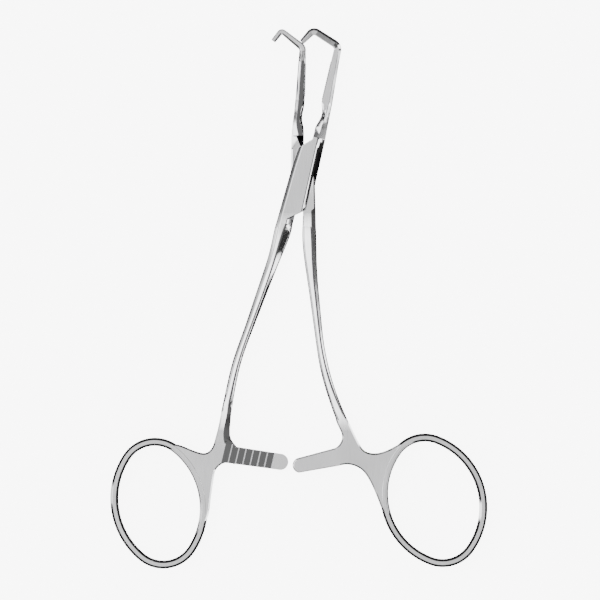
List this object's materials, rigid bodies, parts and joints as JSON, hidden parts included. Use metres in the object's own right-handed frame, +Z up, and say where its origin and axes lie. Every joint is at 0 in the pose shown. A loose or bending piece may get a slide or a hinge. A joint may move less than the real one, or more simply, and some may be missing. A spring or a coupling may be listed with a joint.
{
  "type": "atraumatic vascular clamp",
  "caption": "Box-lock surgical clamp with slim twice-bent jaws, fine interlocking tooth rows, a ratchet between the shanks and two oval finger rings.",
  "frame": {"origin": "on the pivot axis of the box lock, at the lock's flat underside", "axes": "+Y towards the jaws, +Z up out of the flat side of the instrument that faces the viewer, +X to the right with the finger rings nearest"},
  "size_m": [0.1107, 0.1587, 0.0056],
  "materials": {
    "steel": "satin polished stainless steel"
  },
  "bodies": {
    "box_half": {"box_jaw": "steel", "box_lock": "steel", "lock_pin": "steel", "box_shank": "steel", "box_ratchet": "steel", "box_ring": "steel"},
    "tongue_half": {"tongue_jaw": "steel", "tongue": "steel", "tongue_shank": "steel", "tongue_ratchet": "steel", "tongue_ring": "steel"}
  },
  "joints": [
    {"name": "lock_pivot", "type": "hinge", "parent": "box_half", "child": "tongue_half", "pos_m": [0, 0, 0.0028], "axis": [0, 0, 1], "range_deg": [-11.5, 24]}
  ]
}
